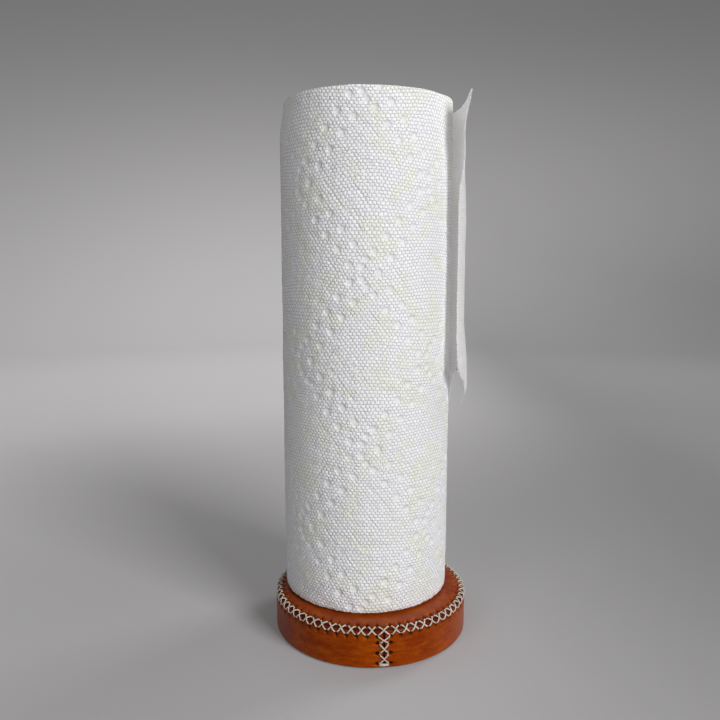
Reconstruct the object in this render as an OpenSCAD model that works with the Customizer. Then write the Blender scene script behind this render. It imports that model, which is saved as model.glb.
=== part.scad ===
// Paper towel holder: a weighted round base and a post, both covered in laced
// leather, with the roll of paper towels that stands on it.
// The origin is under the middle of the base, and the side seam faces -Y.

/* [Base] */
// Outside diameter of the base, over its leather
base_d = 113.6; // [106:0.2:130]
// Height of the base, from the table to its leather top
base_h = 23; // [21:0.5:32]
// Radius of the base's rounded top edge, over the leather
edge_r = 5; // [4.5:0.5:6.5]
// Thickness of the leather on the base
leather_t = 2; // [1.4:0.1:2.4]
// Width of the joint between the top disc and the side strip
joint_w = 0.5; // [0.3:0.1:1]
// Thickness of the suede pad under the base
pad_t = 1.6; // [1.2:0.1:3]
// How far the pad stands below the side strip
pad_proud = 0.8; // [0.4:0.1:1]

/* [Ballast] */
// Diameter of the steel plate let into the wooden core
plate_d = 84; // [72:1:92]
// Thickness of the steel plate
plate_t = 6; // [4:0.5:7]
// Gap between the plate and the wall of its recess
plate_gap = 0.3; // [0.2:0.1:0.6]
// Number of screws that hold the plate
plate_screw_count = 4; // [3:1:6]
// Diameter of the circle that the plate's screws stand on
plate_screw_pcd = 60; // [44:1:64]
// Diameter of a plate screw's shank
plate_screw_d = 4; // [3:0.5:5]
// Length of a plate screw, with its head
plate_screw_l = 16; // [12:1:18]

/* [Post] */
// Diameter of the wooden dowel
dowel_d = 24; // [20:0.1:25]
// How far the post's top stays below the top of the roll
post_below = 7.6; // [5:0.1:40]
// Depth of the socket that holds the dowel's foot
socket_depth = 11; // [8:0.5:12]
// Thickness of the leather on the post
sleeve_t = 1.2; // [0.8:0.1:1.6]
// Radius of the cap's rounded edge, over the leather
cap_edge_r = 3; // [2.6:0.1:3.6]
// Diameter of the long screw's shank
post_screw_d = 6; // [4:0.5:8]
// Length of the long screw, with its head
post_screw_l = 60; // [40:1:80]

/* [Lacing] */
// Diameter of the waxed thread
thread_d = 1; // [0.8:0.1:1.2]
// Diameter of the holes punched for it
hole_d = 1.4; // [1.2:0.1:1.8]
// Number of hole pairs round the rim
rim_holes = 63; // [48:1:72]
// Distance of the rim's top holes in from the side of the base
rim_hole_in = 3.3; // [2.6:0.1:4]
// Distance of the rim's side holes down from the top of the base
rim_hole_down = 4; // [3.2:0.1:4.2]
// Direction that the side strip's seam faces
seam_angle = -83.4; // [-180:0.1:180]
// Distance between the rim holes on the two sides of the seam
seam_top_w = 7.5; // [6:0.1:9]
// Distance between the seam's two columns of holes
seam_w = 5.6; // [4:0.1:8]
// Distance between the seam's rows of holes
seam_pitch = 5.8; // [5:0.1:8]
// Height of the seam's lowest holes
seam_foot = 2.9; // [2:0.1:4]
// Gap between the ends of the side strip
seam_gap = 0.5; // [0.3:0.1:1]

/* [Post lacing] */
// Direction that the post's seam faces
post_seam_angle = 90; // [-180:1:180]
// Distance between the post seam's two columns of holes
post_seam_w = 5.2; // [4:0.1:7]
// Distance between the post seam's rows of holes
post_seam_pitch = 7; // [5:0.1:10]
// Number of hole pairs round the cap
cap_holes = 15; // [10:1:18]
// Distance of the cap's top holes in from its side
cap_hole_in = 2.2; // [1.6:0.1:2.6]
// Distance of the cap's side holes down from its top
cap_hole_down = 2.4; // [1.8:0.1:2.6]

/* [Roll] */
// Diameter of the wound towels
roll_d = 98; // [80:1:99]
// Length of the roll, which is the width of a sheet
roll_l = 279.4; // [278:0.1:290]
// Inside diameter of the cardboard core
core_bore = 42.4; // [40:0.1:44]
// Thickness of the cardboard
core_t = 1.2; // [0.8:0.1:2]
// Direction in which the loose roll has slid on the post
roll_slide_angle = 114; // [0:1:360]
// Gap between the core and the post's lacing on the side where they are nearest
core_gap = 0.3; // [0.3:0.1:1]
// Gap between the cardboard core and the towels wound on it
wind_gap = 0.3; // [0.3:0.1:0.6]
// Gap under the roll
roll_gap = 0.2; // [0.1:0.1:0.5]
// Width of the soft lower edge of the roll
roll_edge_w = 3.6; // [2:0.1:5]
// Height of the soft lower edge of the roll
roll_edge_h = 3; // [2:0.1:5]

/* [Loose sheet] */
// Thickness of the loose end of the paper
sheet_t = 0.8; // [0.5:0.1:1.2]
// Gap between the roll and the sheet where the sheet leaves it
sheet_gap = 0.3; // [0.3:0.1:0.6]
// Place round the roll where the sheet leaves it
sheet_root_angle = 75; // [60:1:100]
// How far round the roll the loose end reaches
sheet_span = 114; // [60:1:114]
// Angle by which the loose end stands open
sheet_open = 8.8; // [6:0.1:12]
// Height of the lower corner of the torn edge
sheet_low = 152; // [120:1:180]
// Slope of the torn lower edge towards the back
sheet_slope = 29; // [10:1:40]

/* [Hidden] */

saddle_tan = "#8a4a20";
dark_tan = "#6b3418";
ivory = "#d8ccb0";
beech = "#c9a36d";
steel = "#9aa0a6";
kraft = "#b08d63";
paper_white = "#ecebe6";

round_fn = 128;
small_fn = 48;
thread_fn = 16;
past = 1;                       // how far a cut runs past the face it opens

// Leather and wood of the base
joint_tilt = 45;                // where the top disc and the side strip meet on the bend
base_r = base_d / 2;
core_r = base_r - leather_t;
core_top = base_h - leather_t;
pad_side_gap = 0.3;
dowel_side_gap = 0.2;
socket_floor = core_top - socket_depth;
recess_top = pad_t + plate_t;

// Screws
head_share = 2.05;              // head diameter over shank diameter
screw_run = 0.2;                // gap round a shank where it only passes through
screw_sink = 0.1;               // how far a head lies below the face of the plate
slot_share = 0.22;              // width of the drive's slots over the head diameter
screw_foot = pad_t + screw_sink;

// Heights of the roll's ends
roll_foot = base_h + roll_gap;
roll_top = roll_foot + roll_l;

// Post
post_r = dowel_d / 2 + sleeve_t;
post_top = roll_top - post_below;
dowel_top = post_top - sleeve_t;

// Thread and its holes
sink = 0.8;                     // how deep a strand's end lies in its hole
strand_slack = 0.1;             // gap between a strand and what it crosses
rim_seam_step = 2 * asin(seam_top_w / 2 / base_r);
rim_step = (360 - rim_seam_step) / (rim_holes - 1);
rim_angles = [
    for (i = [0:rim_holes]) seam_angle + rim_seam_step / 2 + (i < rim_holes ? i * rim_step : 360)
];
rim_tilts = hole_tilts(edge_r, rim_hole_in, rim_hole_down);
cap_angles = [for (i = [0:cap_holes]) post_seam_angle + (i + 0.5) * 360 / cap_holes];
cap_tilts = hole_tilts(cap_edge_r, cap_hole_in, cap_hole_down);
seam_rows = hole_rows(seam_foot, base_h - rim_hole_down, seam_pitch, seam_w, seam_top_w);
post_seam_rows = hole_rows(
    base_h + seam_foot, post_top - cap_hole_down, post_seam_pitch, post_seam_w,
    2 * post_r * sin(180 / cap_holes)
);

// Roll
roll_r = roll_d / 2;
roll_slide = core_bore / 2 - (post_r + thread_d + strand_slack) - core_gap;
roll_x = roll_slide * cos(roll_slide_angle);
roll_y = roll_slide * sin(roll_slide_angle);
wind_r = core_bore / 2 + core_t + wind_gap;
roll_top_edge = 0.8;            // size of the small bevel at the roll's upper edge
sheet_r = roll_r + sheet_gap;
sheet_free_angle = sheet_root_angle - sheet_span;

// Elevations of the top hole and the side hole on a bend of this radius
function hole_tilts(edge, in, down) = [acos(1 - in / edge), asin(1 - down / edge)];

// Rows of seam holes, each with its height and the distance between its two holes
function hole_rows(foot, top, pitch, w, top_w) = concat(
    [for (i = [0:floor((top - foot) / pitch - 0.5)]) [foot + i * pitch, w]],
    [[top, top_w]]
);

// Point at an angle round a disc, and at a tilt and a reach from the centre of its bend
function bend_point(r, top, edge, angle, tilt, reach) =
    let (out = r - edge + reach * cos(tilt))
    [out * cos(angle), out * sin(angle), top - edge + reach * sin(tilt)];

// Point beside an upright seam: side is -1, 0 or 1, and out is the distance from the axis
function seam_point(r, angle, row, side, out) =
    let (a = angle + side * asin(row[1] / 2 / r))
    [out * cos(a), out * sin(a), row[0]];

function unit(v) = v / norm(v);

// Puts its children in the frame with this origin, x axis and y axis
module in_frame(origin, x, y) {
    z = cross(x, y);
    multmatrix([
        [x[0], y[0], z[0], origin[0]],
        [x[1], y[1], z[1], origin[1]],
        [x[2], y[2], z[2], origin[2]],
        [0, 0, 0, 1]
    ])
        children();
}

// Length of thread bent in one arc from a hole to another, passing over the point crest
module strand(start, end, crest) {
    along = unit(end - start);
    middle = (start + end) / 2;
    rise = (crest - middle) - ((crest - middle) * along) * along;
    half = norm(end - start) / 2;
    bend = (half * half + rise * rise) / (2 * norm(rise));
    spread = atan2(half, bend - norm(rise));
    in_frame(middle - unit(rise) * (bend - norm(rise)), along, unit(rise))
        rotate([0, 0, 90 - spread])
            rotate_extrude(angle = 2 * spread, $fn = small_fn)
                translate([bend, 0])
                    circle(d = thread_d, $fn = thread_fn);
}

// Height of a strand's middle over the leather: the over strands ride on the under ones
function strand_height(over) = (over ? 1.5 : 0.5) * thread_d + (over ? 2 : 1) * strand_slack;

// One layer of the crosses round the bend of a disc
module ring_lacing(r, top, edge, angles, tilts, over) {
    crest_tilt = (tilts[0] + tilts[1]) / 2;
    for (i = [0:len(angles) - 2]) {
        top_angle = angles[over ? i + 1 : i];
        side_angle = angles[over ? i : i + 1];
        strand(
            bend_point(r, top, edge, top_angle, tilts[0], edge - sink),
            bend_point(r, top, edge, side_angle, tilts[1], edge - sink),
            bend_point(r, top, edge, (top_angle + side_angle) / 2, crest_tilt, edge + strand_height(over))
        );
    }
}

// One layer of the crosses up a seam
module seam_lacing(r, angle, rows, over) {
    side = over ? 1 : -1;
    for (i = [0:len(rows) - 2]) {
        crest_row = [(rows[i][0] + rows[i + 1][0]) / 2, 0];
        strand(
            seam_point(r, angle, rows[i], side, r - sink),
            seam_point(r, angle, rows[i + 1], -side, r - sink),
            seam_point(r, angle, crest_row, 0, r + strand_height(over))
        );
    }
}

// Thread holes at one tilt round the bend of a disc
module ring_holes(r, top, edge, t, angles, tilt) {
    for (i = [0:len(angles) - 2])
        rotate([0, 0, angles[i]])
            translate([r - edge, 0, top - edge])
                rotate([0, 90 - tilt, 0])
                    translate([0, 0, edge - t - past / 2])
                        cylinder(d = hole_d, h = t + past, $fn = thread_fn);
}

// Thread holes up both sides of a seam, without the topmost row, which the bend has
module seam_holes(r, angle, t, rows) {
    for (i = [0:len(rows) - 2])
        for (side = [-1, 1])
            rotate([0, 0, angle + side * asin(rows[i][1] / 2 / r)])
                translate([r - t - past / 2, 0, rows[i][0]])
                    rotate([0, 90, 0])
                        cylinder(d = hole_d, h = t + past, $fn = thread_fn);
}

// Half section of the bend in a leather, between two tilts
module bend_section(r, top, edge, t, from, to) {
    reach = 2 * edge;
    translate([r - edge, top - edge])
        intersection() {
            difference() {
                circle(r = edge, $fn = small_fn);
                circle(r = edge - t, $fn = small_fn);
            }
            polygon([[0, 0], reach * [cos(from), sin(from)], reach * [cos(to), sin(to)]]);
        }
}

// Angle on the outside of the bend that half the joint takes up
function half_joint(edge) = asin(joint_w / 2 / edge);

// Leather disc whose rim is bent down to the joint
module laced_disc(r, top, edge, t, hole_r, angles, tilts) {
    difference() {
        rotate_extrude($fn = round_fn) {
            translate([hole_r, top - t])
                square([r - edge - hole_r, t]);
            bend_section(r, top, edge, t, joint_tilt + half_joint(edge), 90);
        }
        ring_holes(r, top, edge, t, angles, tilts[0]);
    }
}

// Leather strip round an upright side, bent in to the joint, with a butt seam
module laced_strip(r, foot, top, edge, t, angle, angles, tilts, rows) {
    difference() {
        rotate_extrude($fn = round_fn) {
            translate([r - t, foot])
                square([t, top - edge - foot]);
            bend_section(r, top, edge, t, 0, joint_tilt - half_joint(edge));
        }
        rotate([0, 0, angle])
            translate([r - edge - past, -seam_gap / 2, foot - past])
                cube([edge + 2 * past, seam_gap, top - foot + 2 * past]);
        ring_holes(r, top, edge, t, angles, tilts[1]);
        seam_holes(r, angle, t, rows);
    }
}

// Solid round block with a rounded upper edge
module rounded_block(r, foot, top, edge) {
    rotate_extrude($fn = round_fn) {
        translate([0, foot])
            square([r, top - edge - foot]);
        translate([0, foot])
            square([r - edge, top - foot]);
        intersection() {
            translate([r - edge, top - edge])
                circle(r = edge, $fn = small_fn);
            translate([r - edge, top - edge])
                square(edge);
        }
    }
}

// Countersunk wood screw, head down, with its head's face at z = 0
module wood_screw(d, l) {
    head_r = d * head_share / 2;
    head_h = head_r - d / 2;
    slot = 2 * head_r * slot_share;
    difference() {
        rotate_extrude($fn = small_fn)
            polygon([[0, 0], [head_r, 0], [d / 2, head_h], [d / 2, l - d], [0, l]]);
        for (turn = [0, 90])
            rotate([0, 0, turn])
                translate([-head_r * 0.6, -slot / 2, -past])
                    cube([head_r * 1.2, slot, head_h * 0.6 + past]);
    }
}

// Countersunk hole through the plate for such a screw
module screw_seat(d) {
    head_r = d * head_share / 2 + screw_run;
    depth = head_r - d / 2 - screw_run;
    rotate_extrude($fn = small_fn)
        polygon([
            [0, pad_t - past], [head_r, pad_t - past], [head_r, screw_foot],
            [d / 2 + screw_run, screw_foot + depth], [d / 2 + screw_run, recess_top + past],
            [0, recess_top + past]
        ]);
}

module at_plate_screws() {
    for (i = [0:plate_screw_count - 1])
        rotate([0, 0, (i + 0.5) * 360 / plate_screw_count])
            translate([plate_screw_pcd / 2, 0, 0])
                children();
}

module base_pad() {
    color(dark_tan)
        cylinder(r = core_r - pad_side_gap, h = pad_t, $fn = round_fn);
}

module ballast_plate() {
    color(steel)
        difference() {
            translate([0, 0, pad_t])
                cylinder(d = plate_d, h = plate_t, $fn = round_fn);
            screw_seat(post_screw_d);
            at_plate_screws()
                screw_seat(plate_screw_d);
        }
}

module plate_screws() {
    color(steel)
        at_plate_screws()
            translate([0, 0, screw_foot])
                wood_screw(plate_screw_d, plate_screw_l);
}

module base_core() {
    color(beech)
        difference() {
            rounded_block(core_r, pad_t, core_top, edge_r - leather_t);
            translate([0, 0, pad_t - past])
                cylinder(d = plate_d + 2 * plate_gap, h = plate_t + past, $fn = round_fn);
            translate([0, 0, socket_floor])
                cylinder(d = dowel_d, h = socket_depth + past, $fn = round_fn);
            translate([0, 0, pad_t])
                cylinder(d = post_screw_d + 2 * screw_run, h = core_top, $fn = small_fn);
            at_plate_screws()
                translate([0, 0, pad_t])
                    cylinder(d = plate_screw_d, h = screw_sink + plate_screw_l, $fn = small_fn);
        }
}

module side_leather() {
    color(saddle_tan)
        laced_strip(
            base_r, pad_proud, base_h, edge_r, leather_t, seam_angle, rim_angles, rim_tilts, seam_rows
        );
}

module top_leather() {
    color(saddle_tan)
        laced_disc(
            base_r, base_h, edge_r, leather_t, dowel_d / 2 + dowel_side_gap, rim_angles, rim_tilts
        );
}

module rim_lacing_under() {
    color(ivory)
        ring_lacing(base_r, base_h, edge_r, rim_angles, rim_tilts, false);
}

module rim_lacing_over() {
    color(ivory)
        ring_lacing(base_r, base_h, edge_r, rim_angles, rim_tilts, true);
}

module seam_lacing_under() {
    color(ivory)
        seam_lacing(base_r, seam_angle, seam_rows, false);
}

module seam_lacing_over() {
    color(ivory)
        seam_lacing(base_r, seam_angle, seam_rows, true);
}

// Two turns of thread across the foot of the seam
module seam_bar() {
    spacing = thread_d + strand_slack;
    color(ivory)
        for (side = [-1, 1]) {
            row = seam_rows[0] + [side * spacing / 2, 0];
            strand(
                seam_point(base_r, seam_angle, row, -1, base_r - sink),
                seam_point(base_r, seam_angle, row, 1, base_r - sink),
                seam_point(base_r, seam_angle, row, 0, base_r + strand_height(false))
            );
        }
}

module post_screw() {
    color(steel)
        translate([0, 0, screw_foot])
            wood_screw(post_screw_d, post_screw_l);
}

module post_dowel() {
    color(beech)
        difference() {
            rounded_block(dowel_d / 2, socket_floor, dowel_top, cap_edge_r - sleeve_t);
            translate([0, 0, pad_t])
                cylinder(d = post_screw_d, h = screw_sink + post_screw_l, $fn = small_fn);
        }
}

module post_sleeve() {
    color(saddle_tan)
        laced_strip(
            post_r, base_h, post_top, cap_edge_r, sleeve_t, post_seam_angle, cap_angles, cap_tilts,
            post_seam_rows
        );
}

module post_lacing_under() {
    color(ivory)
        seam_lacing(post_r, post_seam_angle, post_seam_rows, false);
}

module post_lacing_over() {
    color(ivory)
        seam_lacing(post_r, post_seam_angle, post_seam_rows, true);
}

module post_cap() {
    color(saddle_tan)
        laced_disc(post_r, post_top, cap_edge_r, sleeve_t, 0, cap_angles, cap_tilts);
}

module cap_lacing_under() {
    color(ivory)
        ring_lacing(post_r, post_top, cap_edge_r, cap_angles, cap_tilts, false);
}

module cap_lacing_over() {
    color(ivory)
        ring_lacing(post_r, post_top, cap_edge_r, cap_angles, cap_tilts, true);
}

module on_roll_axis() {
    translate([roll_x, roll_y, 0])
        children();
}

module core_tube() {
    color(kraft)
        on_roll_axis()
            translate([0, 0, roll_foot])
                difference() {
                    cylinder(d = core_bore + 2 * core_t, h = roll_l, $fn = round_fn);
                    translate([0, 0, -past])
                        cylinder(d = core_bore, h = roll_l + 2 * past, $fn = round_fn);
                }
}

// The wound towels, whose lower outer edge is soft and clears the lacing
module towel_wound() {
    color(paper_white)
        on_roll_axis()
            rotate_extrude($fn = round_fn)
                polygon([
                    [wind_r, roll_foot],
                    [roll_r - roll_edge_w, roll_foot],
                    [roll_r - roll_edge_w * 0.4, roll_foot + roll_edge_h * 0.4],
                    [roll_r, roll_foot + roll_edge_h],
                    [roll_r, roll_top - roll_top_edge],
                    [roll_r - roll_top_edge, roll_top],
                    [wind_r, roll_top]
                ]);
}

// The loose end of the outermost towel, which has swung open about the line where it leaves
// the roll, and is torn off at a slope below
module loose_sheet() {
    root = sheet_r * [cos(sheet_root_angle), sin(sheet_root_angle), 0];
    free_y = sheet_r * sin(sheet_free_angle);
    reach = 2 * roll_d;
    color(paper_white)
        on_roll_axis()
            translate(root)
                rotate([0, 0, sheet_open])
                    translate(-root)
                        difference() {
                            rotate([0, 0, sheet_free_angle])
                                rotate_extrude(angle = sheet_span, $fn = round_fn)
                                    translate([sheet_r, roll_foot])
                                        square([sheet_t, roll_l]);
                            translate([-reach / 2, free_y, sheet_low])
                                rotate([-sheet_slope, 0, 0])
                                    translate([0, -reach, -roll_top])
                                        cube([reach, 3 * reach, roll_top]);
                        }
}

base_pad();
ballast_plate();
plate_screws();
base_core();
side_leather();
top_leather();
rim_lacing_under();
rim_lacing_over();
seam_lacing_under();
seam_lacing_over();
seam_bar();
post_screw();
post_dowel();
post_sleeve();
post_lacing_under();
post_lacing_over();
post_cap();
cap_lacing_under();
cap_lacing_over();
core_tube();
towel_wound();
loose_sheet();
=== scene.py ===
"""Looks of the paper towel holder: leather laced over a weighted base and a post, with its roll."""

import math

import bmesh
import bpy
import numpy as np
from mathutils import Matrix, Vector


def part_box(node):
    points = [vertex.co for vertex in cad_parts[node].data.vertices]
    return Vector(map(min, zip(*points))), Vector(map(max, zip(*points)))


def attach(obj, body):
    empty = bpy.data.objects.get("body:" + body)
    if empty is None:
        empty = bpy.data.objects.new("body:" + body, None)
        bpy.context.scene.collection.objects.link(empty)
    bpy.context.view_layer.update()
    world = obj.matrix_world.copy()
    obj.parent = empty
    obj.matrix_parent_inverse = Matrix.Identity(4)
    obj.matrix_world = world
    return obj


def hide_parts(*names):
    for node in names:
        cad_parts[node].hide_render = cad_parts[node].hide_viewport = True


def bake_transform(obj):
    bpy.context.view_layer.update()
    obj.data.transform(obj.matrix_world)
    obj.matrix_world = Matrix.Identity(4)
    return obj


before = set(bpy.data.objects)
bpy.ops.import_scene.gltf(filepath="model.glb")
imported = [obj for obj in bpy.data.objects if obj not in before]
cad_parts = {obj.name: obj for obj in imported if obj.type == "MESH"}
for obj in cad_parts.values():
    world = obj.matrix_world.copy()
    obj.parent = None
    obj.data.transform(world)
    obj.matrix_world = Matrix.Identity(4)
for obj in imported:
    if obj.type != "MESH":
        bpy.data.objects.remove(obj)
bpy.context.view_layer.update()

MM = 0.001
TAU = 2 * math.pi
WELD = 1e-7  # points closer than this are one


def middle(node):
    """Middle of a CAD node's box."""
    low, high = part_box(node)
    return (low + high) / 2


# Base
base_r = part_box("side_leather")[1].x
base_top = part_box("top_leather")[1].z
base_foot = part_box("side_leather")[0].z
base_edge = 5 * MM
leather_t = 2 * MM
joint_w = 0.12 * MM
pad_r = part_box("base_pad")[1].x
pad_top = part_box("base_pad")[1].z

# Post
post_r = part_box("post_sleeve")[1].x
post_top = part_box("post_cap")[1].z
post_hole_r = 12.2 * MM
cap_edge = 3 * MM
sleeve_t = 1.2 * MM

# Lacing
hole_d = 1.7 * MM
hole_pull = 0.75 * MM
hole_stretch = 1.3
pit_floor, pit_rim = 0.4 * hole_d, 0.68 * hole_d
rim_holes = 63
rim_hole_in = 3.3 * MM
rim_hole_down = 4 * MM
seam_facing = math.radians(-83.4)
seam_top_w = 7.5 * MM
seam_w = 5.6 * MM
seam_pitch = 5.8 * MM
seam_foot = 2.9 * MM
seam_gap = 0.5 * MM
post_seam_facing = math.radians(90)
post_seam_w = 5.2 * MM
post_seam_pitch = 7 * MM
cap_holes = 15
cap_hole_in = 2.2 * MM
cap_hole_down = 2.4 * MM
thread_w = 0.8 * MM
thread_t = 0.58 * MM

# Roll
roll_r = 49 * MM
roll_l = 279.4 * MM
roll_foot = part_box("towel_wound")[0].z
roll_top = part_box("towel_wound")[1].z
roll_middle = middle("core_tube")
core_bore_r = 21.2 * MM
core_outer_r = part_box("core_tube")[1].x - roll_middle.x
wind_r = core_outer_r + 0.3 * MM
layer_pitch = 0.84 * MM
roll_edge_h = 3 * MM

# Loose sheet
ply_t = 0.45 * MM
sheet_root = math.radians(75)
sheet_reach = 98.4 * MM


class Wire:
    """One output of a shader node, which can stand in a sum."""

    def __init__(self, finish, socket):
        self.finish = finish
        self.socket = socket

    def __add__(self, other):
        return self.finish.math("ADD", self, other)

    def __sub__(self, other):
        return self.finish.math("SUBTRACT", self, other)

    def __rsub__(self, other):
        return self.finish.math("SUBTRACT", other, self)

    def __mul__(self, other):
        return self.finish.math("MULTIPLY", self, other)

    def __truediv__(self, other):
        return self.finish.math("DIVIDE", self, other)

    def __gt__(self, other):
        return self.finish.math("GREATER_THAN", self, other)

    __radd__ = __add__
    __rmul__ = __mul__


class Finish:
    """A material: its nodes, its Principled shader and the place of a point, in metres."""

    def __init__(self, name, plain):
        self.material = bpy.data.materials.new(name)
        self.material.use_nodes = True
        self.tree = self.material.node_tree
        self.shader = self.tree.nodes["Principled BSDF"]
        self.place = self.node("ShaderNodeTexCoord", out="Object")
        for socket, value in plain.items():
            self.set(self.shader, socket, value)

    def set(self, node, key, value):
        if isinstance(value, Wire):
            self.tree.links.new(value.socket, node.inputs[key])
        elif isinstance(value, tuple) and len(value) == 3 and node.inputs[key].type == "RGBA":
            node.inputs[key].default_value = (*value, 1)
        else:
            node.inputs[key].default_value = value

    def node(self, kind, settings=None, sockets=None, out=0):
        """A node with its settings, then its sockets, and the output that is wanted of it."""
        made = self.tree.nodes.new(kind)
        for key, value in (settings or {}).items():
            setattr(made, key, value)
        for key, value in (sockets or {}).items():
            self.set(made, key, value)
        return Wire(self, made.outputs[out])

    def math(self, operation, *values):
        return self.node("ShaderNodeMath", {"operation": operation}, dict(enumerate(values)))

    def mix(self, share, first, second):
        """A colour between two colours."""
        return self.node(
            "ShaderNodeMix", {"data_type": "RGBA"}, {0: share, 6: first, 7: second}, out=2
        )

    def numbers(self, vector):
        """The three numbers of a vector."""
        split = self.node("ShaderNodeSeparateXYZ", sockets={0: vector}).socket.node
        return [Wire(self, output) for output in split.outputs]

    def out(self, right, back):
        """Distance from the upright axis."""
        return root(right * right + back * back)

    def flat_place(self):
        """Where a point is on the piece's own surface, as its two lengths in metres."""
        return self.numbers(self.node("ShaderNodeUVMap", {"uv_map": "surface"}))[:2]

    def mark(self, name):
        """A number that the piece carries at each of its points."""
        return self.node("ShaderNodeAttribute", {"attribute_name": name}, out="Fac")

    def noise(self, size, detail=2, stretch=None, rough=0.5):
        """Cloudy noise from 0 to 1 with patches of about this size, in metres."""
        place = self.place
        if stretch:
            place = self.node("ShaderNodeMapping", sockets={0: place, "Scale": stretch})
        return self.node(
            "ShaderNodeTexNoise",
            sockets={"Vector": place, "Scale": 1 / size, "Detail": detail, "Roughness": rough},
        )

    def cells(self, size, feature="F1"):
        """Distance from the middle of the nearest cell, or from its edge."""
        return self.node(
            "ShaderNodeTexVoronoi", {"feature": feature}, {"Vector": self.place, "Scale": 1 / size}
        )

    def colour(self, value):
        self.set(self.shader, "Base Color", value)

    def roughness(self, value):
        self.set(self.shader, "Roughness", value)

    def relief(self, height):
        """Bumps of this height, in metres."""
        bump = self.node("ShaderNodeBump", sockets={"Height": height, "Distance": 1, "Strength": 1})
        self.set(self.shader, "Normal", bump)


def both(on_numbers, operation):
    """A function that works on arrays of numbers and on wires alike."""

    def work(*values):
        wires = [value for value in values if isinstance(value, Wire)]
        return wires[0].finish.math(operation, *values) if wires else on_numbers(*values)

    return work


fraction = both(lambda value: value - np.floor(value), "FRACT")
absolute = both(np.abs, "ABSOLUTE")
lesser = both(np.minimum, "MINIMUM")
greater = both(np.maximum, "MAXIMUM")
cosine = both(np.cos, "COSINE")
root = both(np.sqrt, "SQRT")


def bell(offset, width):
    """1 at no offset, falling to 0 on both sides over about two widths."""
    return np.exp(-((offset / width) ** 2))


def fade(value, start, end):
    """0 up to start, 1 from end, and a smooth turn between them."""
    share = lesser(greater((value - start) / (end - start), 0), 1)
    return share * share * (3 - 2 * share)


# Emboss of the towels: rows of small pillows laid like bricks, with dots in crossing rows and thin
# diamonds between them
girth = TAU * roll_r
pillows_round, pillow_rows = 134, 164
pillow_w = girth / pillows_round
pillow_h = roll_l / pillow_rows
arch = 1.5 * MM
diamonds_round = 4
diamond_w = girth / diamonds_round
diamond_h = 93.1 * MM
outer_ring, inner_ring = 0.3, 0.11  # half widths of the thin diamonds, as shares of a cell
line_w = (0.003, 0.014)  # where their line is full, and where it ends
dots_a_side = 6
row_place = 0.428
dot_floor_r, dot_rim_r = 1.1 * MM, 2.5 * MM
dot_depth = 0.31 * MM
pillow_depth = 0.26 * MM
line_depth = 0.14 * MM


def dot_row(across, along):
    """How far a point is from the nearest dot of the two rows that run beside a diamond's side."""
    side = across > 0
    sign = 2 * side - 1
    off = (absolute(across) - row_place) * sign
    step = (fraction(along * dots_a_side + 0.5 * side) - 0.5) / dots_a_side
    wide = (off + step) * (diamond_w / 2)
    high = (off - step) * (diamond_h / 2)
    return root(wide * wide + high * high)


def dents(around, up):
    """How far a place is pressed in by a dot, from 0 to 1, and its distance from a diamond line."""
    lean = around / diamond_w + up / diamond_h
    rake = around / diamond_w - up / diamond_h
    lean_in, rake_in = fraction(lean) - 0.5, fraction(rake) - 0.5
    dot = lesser(dot_row(lean_in, rake), dot_row(rake_in, lean))
    ring = greater(absolute(lean_in), absolute(rake_in))
    line = lesser(absolute(ring - outer_ring), absolute(ring - inner_ring))
    return 1 - fade(dot, dot_floor_r, dot_rim_r), line


def pillows(around, up):
    """Height of the small pillows, from 0 in the gaps to 1; their rows arch over the diamonds."""
    raised = up + arch * cosine(around * (TAU / diamond_w)) * cosine(up * (TAU / diamond_h))
    row = raised / pillow_h
    odd = fraction(row / 2) > 0.5
    across = absolute(fraction(around / pillow_w + 0.5 * odd) - 0.5) * 2
    along = absolute(fraction(row) - 0.5) * 2
    across, along = across * across, along * along
    return (1 - across) * (1 - along * along)


def graded(low, high, marks, near, far, growth=0.35):
    """Steps from low to high that are close together beside the marks."""
    marks = np.asarray(marks)
    steps = [low]
    while steps[-1] < high:
        gap = np.abs(marks - steps[-1]).min()
        steps.append(steps[-1] + min(near + growth * gap, far))
    steps = np.array(steps)
    return low + (steps - low) * (high - low) / (steps[-1] - low)


def flat_grid(columns, rows, copies=1):
    """Flat grids in which each point holds its column, its row and the number of its grid."""
    form = bmesh.new()
    spread = Matrix.Translation((columns / 2, rows / 2, 0)) @ Matrix.Diagonal((columns, rows, 1, 1))
    bmesh.ops.create_grid(form, x_segments=columns, y_segments=rows, size=0.5, matrix=spread)
    first = form.verts[:] + form.edges[:] + form.faces[:]
    for number in range(1, copies):
        made = bmesh.ops.duplicate(form, geom=first)["geom"]
        points = [part for part in made if isinstance(part, bmesh.types.BMVert)]
        bmesh.ops.translate(form, verts=points, vec=(0, 0, number))
    return form


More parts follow.
